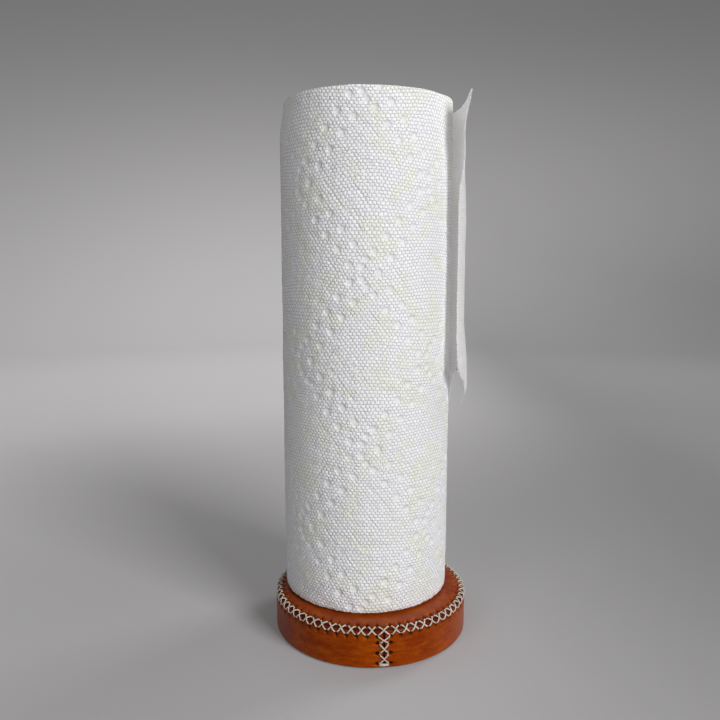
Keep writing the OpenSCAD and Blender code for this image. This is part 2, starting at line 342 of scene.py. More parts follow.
def shaped(form, bend, closed=True):
    """A mesh whose grids are bent by a function of column, row and number.

    It gives each point's place, its two lengths along the surface and any marks it carries.
    """
    mesh = bpy.data.meshes.new("draft")
    form.to_mesh(mesh)
    spots = np.empty(len(mesh.vertices) * 3)
    mesh.vertices.foreach_get("co", spots)
    column, row, number = np.round(spots.reshape(-1, 3)).astype(int).T
    places, lengths, marks = bend(column, row, number)
    mesh.vertices.foreach_set("co", places.ravel())
    corners = np.empty(len(mesh.loops), int)
    mesh.loops.foreach_get("vertex_index", corners)
    surface = mesh.uv_layers.new(name="surface")
    surface.data.foreach_set("uv", np.stack(lengths, axis=-1)[corners].ravel())
    for mark, values in marks.items():
        mesh.attributes.new(mark, "FLOAT", "POINT").data.foreach_set("value", values)
    form.clear()
    form.from_mesh(mesh)
    bpy.data.meshes.remove(mesh)
    bmesh.ops.remove_doubles(form, verts=form.verts, dist=WELD)
    if closed:
        open_edges = [edge for edge in form.edges if edge.is_boundary]
        if open_edges:
            bmesh.ops.holes_fill(form, edges=open_edges, sides=0)
        bmesh.ops.recalc_face_normals(form, faces=form.faces)
    return form


def turned(section, steps):
    """A form turned from an open half section, given as distances from the axis and heights."""
    form = bmesh.new()
    points = [form.verts.new((out, 0, up)) for out, up in section]
    for start, end in zip(points, points[1:]):
        form.edges.new((start, end))
    bmesh.ops.spin(
        form, geom=form.verts[:] + form.edges[:], cent=(0, 0, 0), axis=(0, 0, 1),
        angle=TAU, steps=steps, use_merge=True,
    )
    bmesh.ops.remove_doubles(form, verts=form.verts, dist=WELD)
    bmesh.ops.recalc_face_normals(form, faces=form.faces)
    return form


def add_piece(name, form, finish):
    """An object of the scene made from a form, with smooth faces."""
    mesh = bpy.data.meshes.new(name)
    form.to_mesh(mesh)
    form.free()
    mesh.materials.append(finish.material)
    mesh.polygons.foreach_set("use_smooth", [True] * len(mesh.polygons))
    piece = bpy.data.objects.new(name, mesh)
    bpy.context.scene.collection.objects.link(piece)
    return piece


def add_part(name, form, finish, body, slot, *nodes):
    """A piece that rides on a body and stands for CAD nodes."""
    piece = add_piece(name, form, finish)
    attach(piece, body)
    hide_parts(*nodes)
    return piece


def ripple(around, up, seed, size):
    """Slow uneven waves from -1 to 1, the same on every run."""
    draw = np.random.default_rng(seed)
    total = 0
    for _ in range(6):
        turn, phase = draw.uniform(0, TAU, 2)
        wave = TAU / (size * draw.uniform(0.7, 1.8))
        total = total + np.sin(wave * (around * math.cos(turn) + up * math.sin(turn)) + phase)
    return total / 6


def round_ripple(around, up, seed, size):
    """The same waves round a full turn of something, where its end meets its start."""
    turn = np.ptp(around)
    late = fade((around - around.min()) / turn, 0.9, 1)
    start = ripple(around - turn, up, seed, size)
    return ripple(around, up, seed, size) * (1 - late) + start * late


# Finishes ------


def leather_finish(name, hide, cut_dye_and_shade_colour, gloss):
    """Smooth saddle leather, darker at its cut edges with edge dye and painted shade, and darkened
    in its holes and creases as painted shade.
    """
    finish = Finish(name, {"Specular IOR Level": 0.3, "Specular Tint": (1.0, 0.35, 0.08)})
    clouds = finish.noise(17 * MM, 4, rough=0.6)
    mottle = finish.noise(3 * MM, 5, rough=0.65)
    streaks = finish.noise(9 * MM, 5, stretch=(1, 1, 3.2), rough=0.7)
    red, green, blue = hide
    deep, fair = (0.72 * red, 0.55 * green, 0.6 * blue), (1.45 * red, 2.1 * green, 3 * blue)
    tone = finish.mix(fade(clouds, 0.32, 0.66), deep, hide)
    tone = finish.mix(fade(streaks, 0.42, 0.7) * 0.62, tone, fair)
    tone = finish.mix(fade(mottle, 0.5, 0.8) * 0.35, tone, deep)
    cut_dye_and_shade, pit = finish.mark("cut"), finish.mark("pit")
    # Beside its cuts the leather is darker: partly dye on the cut edges, partly painted shade in the
    # joints.
    tone = finish.mix(cut_dye_and_shade * 0.92, tone, cut_dye_and_shade_colour)
    # The pits of the holes and the creases beside the seam are darkened almost to black as painted
    # shade.
    pit_shade_colour = (0.008, 0.003, 0.002)
    tone = finish.mix(pit, tone, pit_shade_colour)
    finish.colour(tone)
    finish.roughness(gloss + mottle * 0.18 + streaks * 0.06 - cut_dye_and_shade * 0.06)
    grain = finish.cells(0.6 * MM, "SMOOTH_F1")
    pores = finish.noise(0.28 * MM, 3)
    wrinkles = finish.noise(4.4 * MM, 4, stretch=(1, 1, 2.6), rough=0.62)
    finish.relief(
        grain * (0.03 * MM) + pores * (0.02 * MM) + mottle * (0.08 * MM) + wrinkles * (0.26 * MM)
    )
    return finish


def thread_finish():
    """Waxed thread of three plies twisted together, with its two lengths along it and round it."""
    finish = Finish("waxed_thread", {"Roughness": 0.55, "Specular IOR Level": 0.4})
    along, around = finish.flat_place()
    twist = cosine((along / (2.4 * MM) + around) * (TAU * 3))
    fibres = finish.noise(0.3 * MM, 3)
    # The grooves between the twisted plies are darkened as painted shade.
    pale, ply_groove_shade = (0.84, 0.78, 0.69), (0.38, 0.29, 0.21)
    shade = fade(twist, -1.1, 0.2)
    finish.colour(finish.mix(shade * (0.5 + 0.5 * fibres), ply_groove_shade, pale))
    finish.relief(twist * (0.05 * MM) + fibres * (0.05 * MM))
    return finish


def paper_finish(name, white, sheer=0):
    """Soft white paper with the towels' emboss over its fibres, of which some lets light through;
    the gaps between its pillows are darkened as painted shade.
    """
    finish = Finish(name, {"Roughness": 0.95, "Specular IOR Level": 0.15})
    fibres = finish.noise(0.35 * MM, 4, rough=0.7)
    clouds = finish.noise(13 * MM, 5, rough=0.6)
    uneven = finish.noise(2.6 * MM, 3, rough=0.6)
    wobble = finish.noise(5 * MM, 2)
    around, up = finish.flat_place()
    dent, line = dents(around, up)
    crease = 1 - fade(line, *line_w)
    wander, lift = (wobble - 0.5) * (2.2 * MM), (uneven - 0.5) * (1.7 * MM)
    pillow = pillows(around + wander, up + lift) * (0.25 + uneven * 1.5) * (1 - dent * 0.8)
    red, green, blue = white
    patch = fade(clouds, 0.47, 0.6)
    tone = finish.mix(patch, white, (red * 0.975, green * 0.98, blue * 0.92))
    # The gaps between the pillows are darkened as painted shade, in patches a little yellow or blue;
    # dots are spared.
    gap = finish.mix(
        patch, (red * 0.44, green * 0.43, blue * 0.49), (red * 0.47, green * 0.47, blue * 0.34)
    )
    tone = finish.mix((1 - fade(pillow, 0, 0.6)) * (1 - dent * 0.75) * 0.64, tone, gap)
    finish.colour(tone)
    finish.relief(
        pillow * pillow_depth - dent * (0.7 * dot_depth) - crease * line_depth
        + fibres * (0.1 * MM) + wobble * (0.7 * MM) + uneven * (0.2 * MM)
    )
    if sheer:
        through = finish.node(
            "ShaderNodeBsdfTranslucent", sockets={"Color": tuple(1.02 * part for part in white)}
        )
        surface = finish.node("ShaderNodeMixShader", sockets={
            0: sheer, 1: Wire(finish, finish.shader.outputs[0]), 2: through,
        })
        finish.set(finish.tree.nodes["Material Output"], "Surface", surface)
    return finish


def winding_finish():
    """The cut ends of the wound towels, which show a spiral of layers with painted shade in the gaps
    between them.
    """
    finish = Finish("wound_ends", {"Roughness": 0.95, "Specular IOR Level": 0.15})
    around, out = finish.flat_place()
    fuzz = finish.noise(0.5 * MM, 4, rough=0.7)
    wander = finish.noise(6 * MM, 2)
    turn = fraction(out / layer_pitch + around + wander * 1.2)
    gap = absolute(turn - 0.5) * 2
    # The gaps between the layers are darker as painted shade.
    tone = finish.mix(fade(gap, 0.55, 1.0), (0.83, 0.83, 0.82), (0.6, 0.6, 0.58))
    finish.colour(tone)
    finish.relief(fuzz * (0.2 * MM) - fade(gap, 0.4, 1.0) * (0.12 * MM))
    return finish


def board_finish():
    """Grey-brown cardboard with pressed fibres."""
    finish = Finish("core_board", {"Roughness": 0.85, "Specular IOR Level": 0.25})
    fibres = finish.noise(0.8 * MM, 5, stretch=(1, 1, 2.5), rough=0.7)
    clouds = finish.noise(8 * MM, 3)
    tone = finish.mix(fibres, (0.36, 0.25, 0.15), (0.55, 0.42, 0.28))
    finish.colour(finish.mix(clouds * 0.5, tone, (0.42, 0.32, 0.22)))
    finish.relief(fibres * (0.12 * MM))
    return finish


def wood_finish():
    """Beech, with short darker flecks along its upright grain and an outer rim painted dark as
    shade, where it shows in the leather's slits and joints.
    """
    finish = Finish("beech", {"Specular IOR Level": 0.4})
    slit_shade_start, slit_shade_full = 53.2 * MM, 54.4 * MM
    bands = finish.noise(9 * MM, 3, stretch=(1, 1, 0.08))
    flecks = finish.noise(1.1 * MM, 2, stretch=(1, 1, 0.12))
    tone = finish.mix(bands, (0.50, 0.33, 0.19), (0.66, 0.48, 0.30))
    tone = finish.mix(fade(flecks, 0.58, 0.72) * 0.5, tone, (0.28, 0.15, 0.08))
    right, back, _ = finish.numbers(finish.place)
    # The outer rim is near black as painted shade, for where it shows through the slits and joints.
    slit_shade = (0.035, 0.012, 0.006)
    tone = finish.mix(fade(finish.out(right, back), slit_shade_start, slit_shade_full), tone, slit_shade)
    finish.colour(tone)
    finish.roughness(0.5 + bands * 0.15)
    finish.relief(flecks * (0.06 * MM))
    return finish


def steel_finish():
    """Plain zinc-coated steel."""
    finish = Finish("zinc_steel", {"Metallic": 1.0})
    spangle = finish.cells(5 * MM)
    scratches = finish.noise(0.9 * MM, 4, stretch=(1, 0.1, 1))
    finish.colour(finish.mix(spangle, (0.44, 0.46, 0.48), (0.62, 0.63, 0.64)))
    finish.roughness(0.3 + scratches * 0.25)
    finish.relief(scratches * (0.02 * MM))
    return finish


def suede_finish():
    """Dark brown suede with a short nap."""
    finish = Finish("suede", {"Roughness": 0.95, "Specular IOR Level": 0.1, "Sheen Weight": 0.4})
    nap = finish.noise(0.5 * MM, 5, rough=0.75)
    strokes = finish.noise(12 * MM, 3)
    tone = finish.mix(fade(strokes, 0.35, 0.7), (0.075, 0.036, 0.018), (0.12, 0.06, 0.03))
    finish.colour(finish.mix(nap * 0.5, tone, (0.17, 0.09, 0.05)))
    finish.relief(nap * (0.35 * MM))
    return finish


saddle_leather = leather_finish("saddle_leather", (0.264, 0.038, 0.001), (0.07, 0.0055, 0.003), 0.22)
thread = thread_finish()
towel_paper = paper_finish("towel_paper", (0.885, 0.885, 0.9))
single_ply = paper_finish("single_ply", (0.96, 0.955, 0.955), sheer=0.54)
wound_ends = winding_finish()
core_board = board_finish()
beech = wood_finish()
zinc_steel = steel_finish()
suede = suede_finish()


# Laced leather ------


class Laced:
    """A round body in leather, whose rim bends over from its flat top to its upright side.

    A spot on it has a direction round the axis, a run along the leather and a height over it. The
    run is 0 at the middle of the bend, grows towards the middle of the top and falls down the side.
    """

    def __init__(self, radius, top, edge, leather):
        self.radius, self.top, self.edge, self.leather = radius, top, edge, leather
        self.bend_run = edge * math.pi / 4
        self.axis_run = self.bend_run + radius - edge

    def place(self, direction, run, height):
        tilt = math.pi / 4 + np.clip(run, -self.bend_run, self.bend_run) / self.edge
        over_top = np.maximum(run - self.bend_run, 0)
        down_side = np.maximum(-run - self.bend_run, 0)
        out = self.radius - self.edge + (self.edge + height) * np.cos(tilt) - over_top
        up = self.top - self.edge + (self.edge + height) * np.sin(tilt) - down_side
        return np.stack([out * np.cos(direction), out * np.sin(direction), up], axis=-1)

    def tilt_run(self, tilt):
        return (tilt - math.pi / 4) * self.edge

    def side_run(self, up):
        """Run at a height on the upright side or on the lower half of the bend."""
        if up < self.top - self.edge:
            return -(self.bend_run + self.top - self.edge - up)
        return self.tilt_run(math.asin((up - self.top + self.edge) / self.edge))

    def turn(self, arc):
        """Angle of a length round the side, or of a chord where it is short."""
        return 2 * math.asin(arc / 2 / self.radius)

    def rim_runs(self, hole_in, hole_down):
        return (
            self.tilt_run(math.acos(1 - hole_in / self.edge)),
            self.tilt_run(math.asin(1 - hole_down / self.edge)),
        )


base = Laced(base_r, base_top, base_edge, leather_t)
post = Laced(post_r, post_top, cap_edge, sleeve_t)


def hole_rows(foot, top, pitch, width, top_width):
    """Heights of a seam's rows of holes, and the distance between the two holes of each."""
    count = math.floor((top - foot) / pitch - 0.5) + 1
    return [(foot + number * pitch, width) for number in range(count)] + [(top, top_width)]


rim_seam_step = base.turn(seam_top_w)
rim_step = (TAU - rim_seam_step) / (rim_holes - 1)
rim_first = seam_facing + rim_seam_step / 2
rim_facings = np.append(rim_first + rim_step * np.arange(rim_holes), rim_first + TAU)
rim_top_run, rim_side_run = base.rim_runs(rim_hole_in, rim_hole_down)
seam_rows = hole_rows(seam_foot, base_top - rim_hole_down, seam_pitch, seam_w, seam_top_w)

cap_step = TAU / cap_holes
cap_facings = post_seam_facing + (np.arange(cap_holes + 1) + 0.5) * cap_step
cap_top_run, cap_side_run = post.rim_runs(cap_hole_in, cap_hole_down)
post_seam_rows = hole_rows(
    base_top + seam_foot, post_top - cap_hole_down, post_seam_pitch, post_seam_w,
    2 * post_r * math.sin(cap_step / 2),
)


def ring_spots(facings, run):
    """Holes round a rim, each with the way in which the thread has pulled it."""
    return np.array([(facing, run, 0, math.copysign(1, run)) for facing in facings[:-1]])


def seam_spots(body, facing, rows):
    """Holes up both sides of a seam, without the topmost row, which belongs to the rim."""
    return np.array([
        (facing + side * body.turn(width) / 2, body.side_run(up), side, 0)
        for up, width in rows[:-1] for side in (-1, 1)
    ])


def half_turned(angle):
    """An angle as a turn of at most half a circle either way."""
    return (angle + math.pi) % TAU - math.pi


def to_hole(body, direction, run, holes):
    """Distance to the middle of the nearest hole, and how deep a place is in its stretched pit,
    which also sets the painted shade there.
    """
    spots = body.place(direction, run, 0)
    centres = body.place(holes[:, 0], holes[:, 1], 0)
    gaps = np.linalg.norm(spots[:, None] - centres[None], axis=2)
    chosen = holes[gaps.argmin(axis=1)]
    away = half_turned(direction - chosen[:, 0]) * body.radius
    above = run - chosen[:, 1]
    out = away * chosen[:, 2] + above * chosen[:, 3] - hole_pull
    aside = away * chosen[:, 3] - above * chosen[:, 2]
    oval = np.hypot(out / hole_stretch, aside)
    return gaps.min(axis=1), 1 - fade(oval, pit_floor, pit_rim)


def rounded(gap, radius):
    """How far a face drops at a distance from an edge that is rounded to this radius."""
    short = np.clip(1 - gap / radius, 0, 1)
    return radius * (1 - np.sqrt(1 - short * short))


# The leather's face: shares are of its thickness
inner_count = 8  # rows on the hidden side
edge_share, far_edge_share = 0.2, 0.7  # rounding of the cut at the joint, and the far cut's part
# The dark of a cut is partly dye on the cut edge and partly painted shade in the joint beside it.
cut_share, slit_cut_share = 1.2, 0.6  # how far in the dark of a cut reaches
drawn_share, drawn_depth = 1.15, 0.16  # dips that the thread has drawn round the holes
wave_size, wave_height = 16 * MM, 0.035
swell_share, swell_height = 1.1, 0.05  # crown along the joint
pit_depth = 0.7
# The creases beside the seam are darkened by this share as painted shade.
crease_w, crease_depth, crease_shade = 0.45 * MM, 0.2, 0.4
crease_start, crease_hold, crease_end = 0.6 * MM, 1.5 * MM, 5 * MM


def leather_shell(body, facings, runs, holes, wave_seed, slit=None, creases=()):
    """Leather over part of a body, as a closed shell between two runs and two facings.

    Its faces at the runs and at a slit are rounded, its holes are punched, and the thread has
    drawn the leather in beside them.
    """
    joint = runs[0]
    to_axis = abs(max(runs) - body.axis_run) < WELD
    inner_runs = np.linspace(runs[-1], runs[0], inner_count)
    profile_run = np.concatenate([runs, inner_runs, [] if to_axis else runs[:1]])
    profile_inner = np.concatenate([
        np.zeros(len(runs)), np.ones(inner_count), [] if to_axis else [0]
    ])
    edge_round = edge_share * body.leather

    def bend(column, row, number):
        direction, run, inner = facings[column], profile_run[row], profile_inner[row] > 0
        arc = direction * body.radius
        gap, pit = to_hole(body, direction, run, holes)
        cut_gap = np.abs(run - joint)
        drop = rounded(cut_gap, edge_round)
        if not to_axis:
            far_gap = np.abs(run - runs[-1])
            drop = np.maximum(drop, rounded(far_gap, edge_round * far_edge_share))
        # cut darkens the leather beside the joint and the slit: partly edge dye, partly painted
        # shade.
        cut = bell(cut_gap, cut_share * body.leather)
        if slit is not None:
            slit_gap = np.abs(half_turned(direction - slit)) * body.radius
            slit_gap = np.abs(slit_gap - seam_gap / 2)
            drop = np.maximum(drop, rounded(slit_gap, edge_round))
            cut = np.maximum(cut, bell(slit_gap, slit_cut_share * body.leather))
        drawn = bell(gap, drawn_share * body.leather) * drawn_depth * body.leather
        wave = round_ripple(arc, run, wave_seed, wave_size) * wave_height * body.leather
        swell = bell(run, swell_share * body.leather) * swell_height * body.leather
        height = wave + swell - drop - drawn - pit * pit_depth * body.leather
        for facing, rows in creases:
            for up, width in rows[:-1]:
                line = bell(run - body.side_run(up), crease_w)
                off = np.abs(half_turned(direction - facing)) * body.radius - width / 2
                reach = fade(off, 0, crease_start) * (1 - fade(off, crease_hold, crease_end))
                height = height - line * reach * crease_depth * body.leather
                # The creases are also darkened as painted shade.
                pit = np.maximum(pit, line * reach * crease_shade)
        height = np.where(inner, -body.leather, height)
        places = body.place(direction, run, height)
        # Marks for the finish: pits and creases are painted shade, cuts are edge dye with painted
        # shade.
        marks = {
            "pit": np.where(inner, 0, pit),
            "cut": np.where(inner, 1, np.minimum(cut, 1)),
        }
        return places, (arc, run), marks

    form = flat_grid(len(facings) - 1, len(profile_run) - 1)
    return shaped(form, bend)


def rim_columns(facings, body, fine, coarse):
    """Directions round a rim, close together beside its holes."""
    arc = 1 / body.radius
    return graded(facings[0], facings[-1], facings, fine * arc, coarse * arc)


def slit_columns(facings, body, slit, widths, fine, coarse):
    """Directions from one face of a seam's slit round to the other."""
    arc = 1 / body.radius
    half_gap = seam_gap / 2 * arc
    low, high = slit + half_gap, slit + TAU - half_gap
    marks = [low, high, *facings]
    for width in widths:
        half = body.turn(width) / 2
        marks += [slit + half, slit + TAU - half]
    return graded(low, high, marks, fine * arc, coarse * arc)


top_fine, side_fine = 0.14 * MM, 0.15 * MM


def top_runs(body, hole_run, hole_r, coarse):
    """Runs from the joint at the bend to the middle of the top."""
    high = body.axis_run - hole_r
    start = joint_w / 2
    return graded(start, high, [start, hole_run], top_fine, coarse)


def side_runs(body, hole_run, rows, foot, coarse):
    """Runs from the joint at the bend down to the foot of the side."""
    start = joint_w / 2
    low = -body.side_run(foot)
    marks = [start, -hole_run, low] + [-body.side_run(up) for up, _ in rows[:-1]]
    return -graded(start, low, marks, side_fine, coarse)


top_disc = leather_shell(
    base, rim_columns(rim_facings, base, fine=0.15 * MM, coarse=0.7 * MM),
    top_runs(base, rim_top_run, post_hole_r, coarse=6 * MM),
    ring_spots(rim_facings, rim_top_run), wave_seed=4,
)
add_part("leather_top", top_disc, saddle_leather, "base", "leather", "top_leather")

side_strip = leather_shell(
    base,
    slit_columns(
        rim_facings[:-1], base, seam_facing, [seam_w, seam_top_w], fine=0.15 * MM, coarse=0.7 * MM
    ),
    side_runs(base, rim_side_run, seam_rows, base_foot, coarse=1.1 * MM),
    np.concatenate([
        ring_spots(rim_facings, rim_side_run), seam_spots(base, seam_facing, seam_rows)
    ]),
    slit=seam_facing, creases=[(seam_facing, seam_rows)], wave_seed=7,
)
add_part("leather_side", side_strip, saddle_leather, "base", "leather", "side_leather")

cap_disc = leather_shell(
    post, rim_columns(cap_facings, post, fine=0.2 * MM, coarse=0.9 * MM),
    top_runs(post, cap_top_run, hole_r=0, coarse=1.5 * MM),
    ring_spots(cap_facings, cap_top_run), wave_seed=9,
)
add_part("leather_cap", cap_disc, saddle_leather, "base", "leather", "post_cap")

sleeve = leather_shell(
    post,
    slit_columns(
        cap_facings[:-1], post, post_seam_facing, [post_seam_w], fine=0.2 * MM, coarse=1.2 * MM
    ),
    side_runs(post, cap_side_run, post_seam_rows, base_top, coarse=1.4 * MM),
    np.concatenate([
        ring_spots(cap_facings, cap_side_run), seam_spots(post, post_seam_facing, post_seam_rows)
    ]),
    slit=post_seam_facing, wave_seed=11,
)
add_part("leather_sleeve", sleeve, saddle_leather, "base", "leather", "post_sleeve")


# Lacing ------

strand_rings = np.array(
    [0, 0.035, 0.075, 0.12, 0.18, 0.27, 0.38, 0.5, 0.62, 0.73, 0.82, 0.88, 0.925, 0.965, 1]
)
strand_sides = 8
strand_clear = 0.04 * MM  # between a strand and the leather
strand_slack = 0.08 * MM
crossing_share = 0.17  # share of a strand that rises where it crosses another
dip_share, dip_depth = 0.13, 1.5 * MM
width_drift = 0.06
twist_rate = 1.15


def lacing(body, ends, crest, bow, seed, inset=0.5 * MM):
    """Strands of thread, each from one hole to another over the leather.

    A strand's height is crest where it crosses another, and bow is how far it curves into the line
    of its holes on the way.
    """
    ends = np.array(ends)
    draw = np.random.default_rng(seed)
    drift = draw.normal(0, 1, (len(ends), 4))
    rest = thread_t / 2 + strand_clear
    arc = np.array([body.radius, 1])
    first, last = ends[:, 0:2] * arc, ends[:, 2:4] * arc
    along = (last - first) / np.linalg.norm(last - first, axis=1)[:, None]
    first, last = first + along * inset, last - along * inset

    def line(number, share, height_more=0):
        start, end = first[number], last[number]
        swing = (1 - np.cos(math.pi * share)) / 2
        arc_now = start[:, 0] + (end[:, 0] - start[:, 0]) * share
        bowed = share + (swing - share) * bow
        run_now = start[:, 1] + (end[:, 1] - start[:, 1]) * bowed
        bulge = np.sin(math.pi * share)
        arc_now = arc_now + bulge * drift[number, 0] * strand_slack
        run_now = run_now + bulge * drift[number, 1] * strand_slack
        hump = bell(share - 0.5, crossing_share)
        dip = 1 - fade(np.minimum(share, 1 - share), -0.02, dip_share)
        height = rest + (crest - rest) * hump - dip * dip_depth + height_more
        return body.place(arc_now / body.radius, run_now, height)

    def bend(column, row, number):
        share, turn = strand_rings[column], row / strand_sides * TAU
        middle_line = line(number, share)
        ahead = line(number, share + 0.01) - line(number, share - 0.01)
        ahead /= np.linalg.norm(ahead, axis=1)[:, None]
        out = line(number, share, 0.1 * MM) - middle_line
        across = np.cross(ahead, out)
        across /= np.linalg.norm(across, axis=1)[:, None]
        out = np.cross(across, ahead)
        wide = thread_w / 2 * (1 + width_drift * drift[number, 2])
        places = middle_line + across * (wide * np.cos(turn))[:, None]
        places = places + out * (thread_t / 2 * np.sin(turn))[:, None]
        length = np.linalg.norm(last - first, axis=1)[number]
        return places, (share * length * twist_rate + drift[number, 3] * MM, turn / TAU), {}

    form = flat_grid(len(strand_rings) - 1, strand_sides, len(ends))
    return shaped(form, bend)


def ring_ends(facings, start_run, end_run):
    """Strands from each hole of a rim to the next hole of its other row."""
    return [(one, start_run, two, end_run) for one, two in zip(facings[:-1], facings[1:])]


def seam_ends(body, facing, rows, side):
    """Strands from each row of a seam's holes to the next, from one side to the other."""
    return [
        (facing + side * body.turn(low_w) / 2, body.side_run(low),
         facing - side * body.turn(high_w) / 2, body.side_run(high))
        for (low, low_w), (high, high_w) in zip(rows[:-1], rows[1:])
    ]


under_crest, over_crest = 0.36 * MM, 0.94 * MM

lacings = [
    ("rim", base, 0.35, 21, ring_ends(rim_facings, rim_top_run, rim_side_run),
     ring_ends(rim_facings, rim_side_run, rim_top_run)),
    ("seam", base, 0.15, 23, seam_ends(base, seam_facing, seam_rows, -1),
     seam_ends(base, seam_facing, seam_rows, 1)),
    ("cap", post, 0.5, 25, ring_ends(cap_facings, cap_top_run, cap_side_run),
     ring_ends(cap_facings, cap_side_run, cap_top_run)),
    ("post", post, 0.15, 27, seam_ends(post, post_seam_facing, post_seam_rows, -1),
     seam_ends(post, post_seam_facing, post_seam_rows, 1)),
]
for place, body, bow, seed, under, over in lacings:
    for node, ends, crest, layer_seed in (
        (place + "_lacing_under", under, under_crest, seed),
        (place + "_lacing_over", over, over_crest, seed + 1),
    ):
        strands = lacing(body, ends, crest, bow, layer_seed)
        add_part("thread_" + node, strands, thread, "base", "thread", node)

bar_run = base.side_run(seam_foot)
bar_half = base.turn(seam_w) / 2
bar_ends = [
    (seam_facing - bar_half, bar_run + 0.25 * MM, seam_facing + bar_half, bar_run - 0.1 * MM),
    (seam_facing - bar_half, bar_run - 0.6 * MM, seam_facing + bar_half, bar_run - 0.6 * MM),
]
bar = lacing(base, bar_ends, 0.5 * MM, 0, 29, inset=0.1 * MM)
add_part("thread_seam_bar", bar, thread, "base", "thread", "seam_bar")


# Base pad ------

soft = 0.35 * MM
pad_steps = 128
pad_section = [
    (0, 0), (pad_r * 0.5, 0), (pad_r - soft, 0), (pad_r - 0.3 * soft, 0.3 * soft), (pad_r, soft),
    (pad_r, pad_top - soft), (pad_r - 0.3 * soft, pad_top - 0.3 * soft), (pad_r - soft, pad_top),
    (pad_r * 0.5, pad_top), (0, pad_top),
]
add_part("suede_pad", turned(pad_section, pad_steps), suede, "base", "suede", "base_pad")


# Roll ------


def round_roll(direction, out, up):
    """Places at a direction, a distance and a height from the roll's axis."""
    return np.stack([
        roll_middle.x + out * np.cos(direction), roll_middle.y + out * np.sin(direction), up
    ], axis=-1)


ply_columns, wall_rows = 268, 324
ply_in = 44.6 * MM
tear_slope = 0.55  # how fast the old tear falls on its way round the back
tear_start = 108 * MM
pressed_facing, pressed_w = math.radians(188), 0.5
pressed_in, pressed_h = 2 * MM, 20 * MM
proud_facing, proud_w = math.radians(354), 0.45
proud_up, proud_h = 1.2 * MM, 8 * MM
top_edge_h = 1.0 * MM


def torn_away(direction, up):
    """1 where the outermost layer is gone, below the slanting tear that starts at the sheet."""
    height = tear_start - (direction - sheet_root) * roll_r * tear_slope
    ragged = ripple(direction * roll_r, up * 0, 31, 9 * MM) * 1.6 * MM
    ragged = ragged + ripple(direction * roll_r, up * 0, 32, 2.2 * MM) * 0.7 * MM
    return 1 - fade(up, height + ragged - 0.3 * MM, height + ragged + 0.3 * MM)


def ply_radius(direction, up):
    """Outer radius of the roll, whose outermost layer winds outwards to the loose sheet."""
    wound = (direction - sheet_root) / TAU
    return roll_r - ply_t * wound - ply_t * torn_away(direction, up) * (1 - wound)


def outer_towels():
    """The outer layers: the quilted wall with its soft ends, closed on the inside."""
    height = roll_top - roll_foot
    wall = np.linspace(roll_edge_h, height - top_edge_h, wall_rows + 1)
    dip = ply_in - roll_r
    foot_curve = [(dip, 0)] + [(across * MM, up * MM) for across, up in (
        (-3.3, 0), (-2.9, 0.1), (-2.4, 0.48), (-2.0, 0.58), (-1.2, 0.72), (-0.5, 0.9), (-0.1, 1.5),
    )]
    top_curve = [
        (-0.08 * MM, height - 0.55 * MM), (-0.32 * MM, height - 0.2 * MM),
        (-0.7 * MM, height - 0.02 * MM), (-1.3 * MM, height), (-2.6 * MM, height), (dip, height),
    ]
    section = np.array(foot_curve + [(0, up) for up in wall] + top_curve + foot_curve[:1])
    travel = np.append(0, np.cumsum(np.linalg.norm(np.diff(section, axis=0), axis=1)))
    travel = travel - travel[len(foot_curve)] + roll_edge_h

    def bend(column, row, number):
        direction = sheet_root + column / ply_columns * TAU
        inset, up = section[row].T
        on_wall = 1 - fade(-inset, 0.2 * MM, 2.8 * MM)
        around, along = direction * roll_r, travel[row]
        radius = ply_radius(direction, roll_foot + up)
        slow, quick = round_ripple(around, up, 33, 60 * MM), round_ripple(around, up, 37, 7 * MM)
        soft_wave = (slow * 0.3 + quick * 0.14) * MM * on_wall
        relief = -dents(around, along)[0] * dot_depth * (1 - fade(-inset, 0.1 * MM, 0.9 * MM))
        frill = round_ripple(around, up * 0, 36, 3 * MM) * 0.6 * MM * fade(-inset, 0, 0.4 * MM)
        bumps = (relief + soft_wave + frill * (up < 2 * MM)) * (inset > dip)
        out = np.where(inset <= dip + WELD, ply_in, inset + radius + bumps)
        lift = round_ripple(around, inset * 0, 34, 24 * MM) * 0.25 * MM
        at_top = (up > height - 0.9 * MM) * (inset > dip) * (inset < -0.2 * MM)
        pressed = bell(direction - pressed_facing, pressed_w) * (inset > dip)
        out = out - pressed * pressed_in * fade(up, height - pressed_h, height)
        proud = bell(direction - proud_facing, proud_w) * (inset > dip)
        up = up + proud * proud_up * fade(up, height - proud_h, height - 0.6 * MM)
        places = round_roll(direction, out, roll_foot + up + lift * at_top)
        return places, (around, along), {}

    form = flat_grid(ply_columns, len(section) - 1)
    return shaped(form, bend)


def wound_towels():
    """The inner layers, whose cut ends show as a spiral."""
    wound_r = ply_in - 0.01 * MM
    top_steps = np.arange(wound_r, wind_r, -layer_pitch / 4)
    top_steps[-1] = wind_r
    foot_steps = np.linspace(wind_r, wound_r, 30)
    outs = np.concatenate([top_steps, foot_steps, top_steps[:1]])
    at_top = np.concatenate([np.ones(len(top_steps)), np.zeros(len(foot_steps)), [1]])
    columns = 192

    def bend(column, row, number):
        direction = column / columns * TAU
        out, top = outs[row], at_top[row]
        turn = out / layer_pitch + direction / TAU
        ridge = (np.cos(TAU * turn) - 1) * 0.14 * MM
        tilt = round_ripple(direction * 30 * MM, out * 2.5, 35, 30 * MM) * 0.22 * MM
        inside = fade(out, wind_r, wind_r + 1.5 * MM) * (1 - fade(out, ply_in - 1.5 * MM, ply_in))
        up = np.where(top > 0, roll_top + ridge + tilt * inside - 0.02 * MM, roll_foot)
        return round_roll(direction, out, up), (direction / TAU, out), {}

    form = flat_grid(columns, len(outs) - 1)
    return shaped(form, bend)


add_part(
    "towel_outer_layers", outer_towels(), towel_paper, "towels", "towel_paper", "towel_wound"
)
add_part("towel_windings", wound_towels(), wound_ends, "towels", "towel_paper", "towel_wound")


